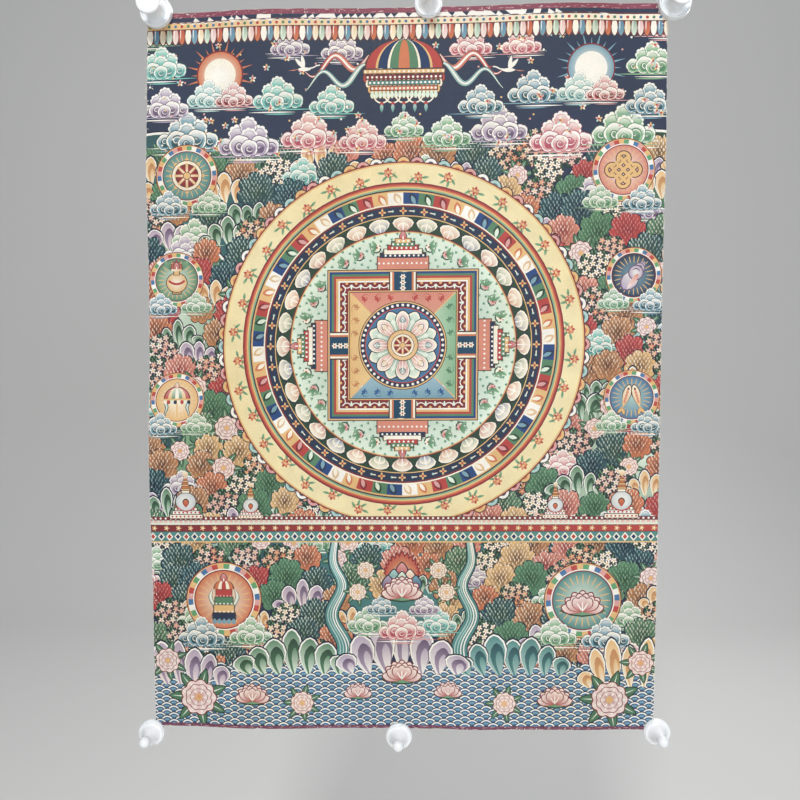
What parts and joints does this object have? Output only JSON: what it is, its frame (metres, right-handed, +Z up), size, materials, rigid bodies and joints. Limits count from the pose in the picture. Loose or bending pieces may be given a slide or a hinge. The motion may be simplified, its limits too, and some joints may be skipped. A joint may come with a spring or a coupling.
{
  "type": "unmounted thangka painting on canvas with knob magnets",
  "caption": "Tall painted canvas sheet in the manner of a thangka, hung flat by white knob magnets pressed on its top and bottom edges.",
  "frame": {"origin": "middle of the sheet's top edge, on its back face, in the plane that the sheet hangs against", "axes": "+Z up along the sheet's height, +X along its width to the viewer's right, painted face towards -Y"},
  "size_m": [0.5397, 0.0299, 0.7425],
  "materials": {
    "painted_canvas": "matte",
    "white_plastic": "satin"
  },
  "bodies": {
    "root": {"canvas": "painted_canvas", "magnet_top_left": "white_plastic", "magnet_top_middle": "white_plastic", "magnet_top_right": "white_plastic", "magnet_bottom_left": "white_plastic", "magnet_bottom_middle": "white_plastic", "magnet_bottom_right": "white_plastic"}
  },
  "joints": []
}
